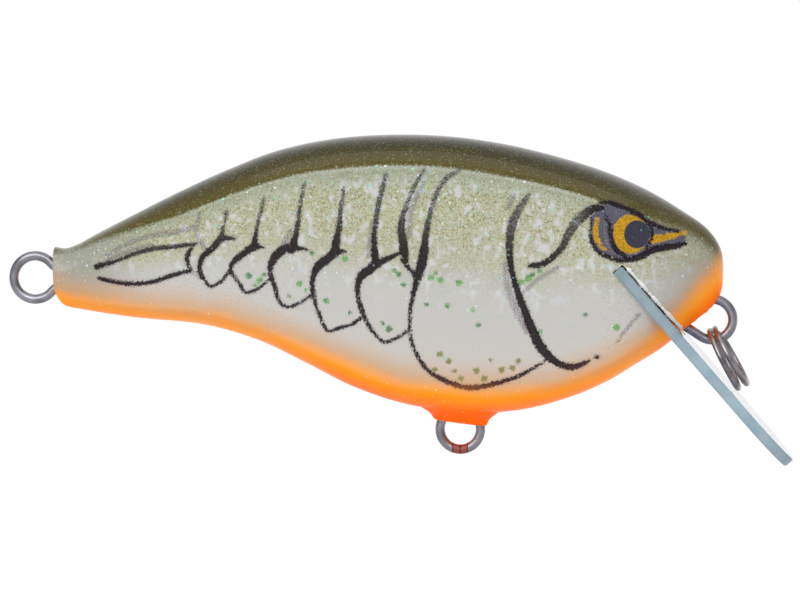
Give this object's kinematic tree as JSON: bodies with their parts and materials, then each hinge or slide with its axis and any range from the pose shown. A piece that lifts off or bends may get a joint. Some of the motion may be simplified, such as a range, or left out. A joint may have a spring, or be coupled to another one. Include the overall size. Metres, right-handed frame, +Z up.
{
  "type": "crankbait lure",
  "caption": "Flat-sided crankbait fishing lure: hollow two-part body, clear flat diving lip, wire hangers, split ring, internal ballast, weight-transfer balls and rattles.",
  "frame": {"origin": "centre of the line-tie eye at the nose", "axes": "+X from the tail towards the nose along the body, +Z up from belly to back, +Y to the lure's left, with Y = 0 on the parting plane of the two shells"},
  "size_m": [0.0819, 0.014, 0.0345],
  "materials": {
    "painted_shell": "airbrushed olive back, beige scale-patterned sides and orange belly under clear gloss",
    "clear_lip": "clear moulded sheet with polished faces",
    "steel_wire": "bright drawn wire, dulled in the bends",
    "split_ring": "plain spring wire",
    "steel_ball": "polished",
    "bead_brass": "plain",
    "ballast_metal": "dull, as cast",
    "tube_plastic": "natural"
  },
  "bodies": {
    "body": {"body_shell_left": "painted_shell", "body_shell_right": "painted_shell", "diving_lip": "clear_lip", "line_tie_hanger": "steel_wire", "belly_hanger": "steel_wire", "tail_hanger": "steel_wire", "transfer_tube": "tube_plastic", "tube_cap_front": "tube_plastic", "tube_cap_rear": "tube_plastic", "belly_ballast_front": "ballast_metal", "belly_ballast_rear": "ballast_metal"},
    "split_ring": {"line_tie_split_ring": "split_ring"},
    "ball_1": {"transfer_ball_1": "steel_ball"},
    "ball_2": {"transfer_ball_2": "steel_ball"},
    "ball_3": {"transfer_ball_3": "steel_ball"},
    "head_bead": {"rattle_bead_head": "bead_brass"},
    "back_bead": {"rattle_bead_back": "bead_brass"}
  },
  "joints": [
    {"name": "split_ring_swing", "type": "hinge", "parent": "body", "child": "split_ring", "pos_m": [0, 0, 0], "axis": [0, -1, 0], "range_deg": [0, 138]},
    {"name": "transfer_ball_1_roll", "type": "slide", "parent": "body", "child": "ball_1", "axis": [-0.9888, 0, 0.1491], "range_m": [0, 0.019]},
    {"name": "transfer_ball_2_roll", "type": "slide", "parent": "body", "child": "ball_2", "axis": [-0.9888, 0, 0.1491], "range_m": [0, 0.019]},
    {"name": "transfer_ball_3_roll", "type": "slide", "parent": "body", "child": "ball_3", "axis": [-0.9888, 0, 0.1491], "range_m": [0, 0.019]},
    {"name": "head_bead_rattle", "type": "slide", "parent": "body", "child": "head_bead", "axis": [0, 1, 0], "range_m": [-0.0011, 0.0011]},
    {"name": "back_bead_rattle", "type": "slide", "parent": "body", "child": "back_bead", "axis": [0, 1, 0], "range_m": [-0.0025, 0.0025]}
  ],
  "couplings": [
    {"joint": "transfer_ball_2_roll", "follows": "transfer_ball_1_roll", "ratio": 1},
    {"joint": "transfer_ball_3_roll", "follows": "transfer_ball_1_roll", "ratio": 1}
  ]
}
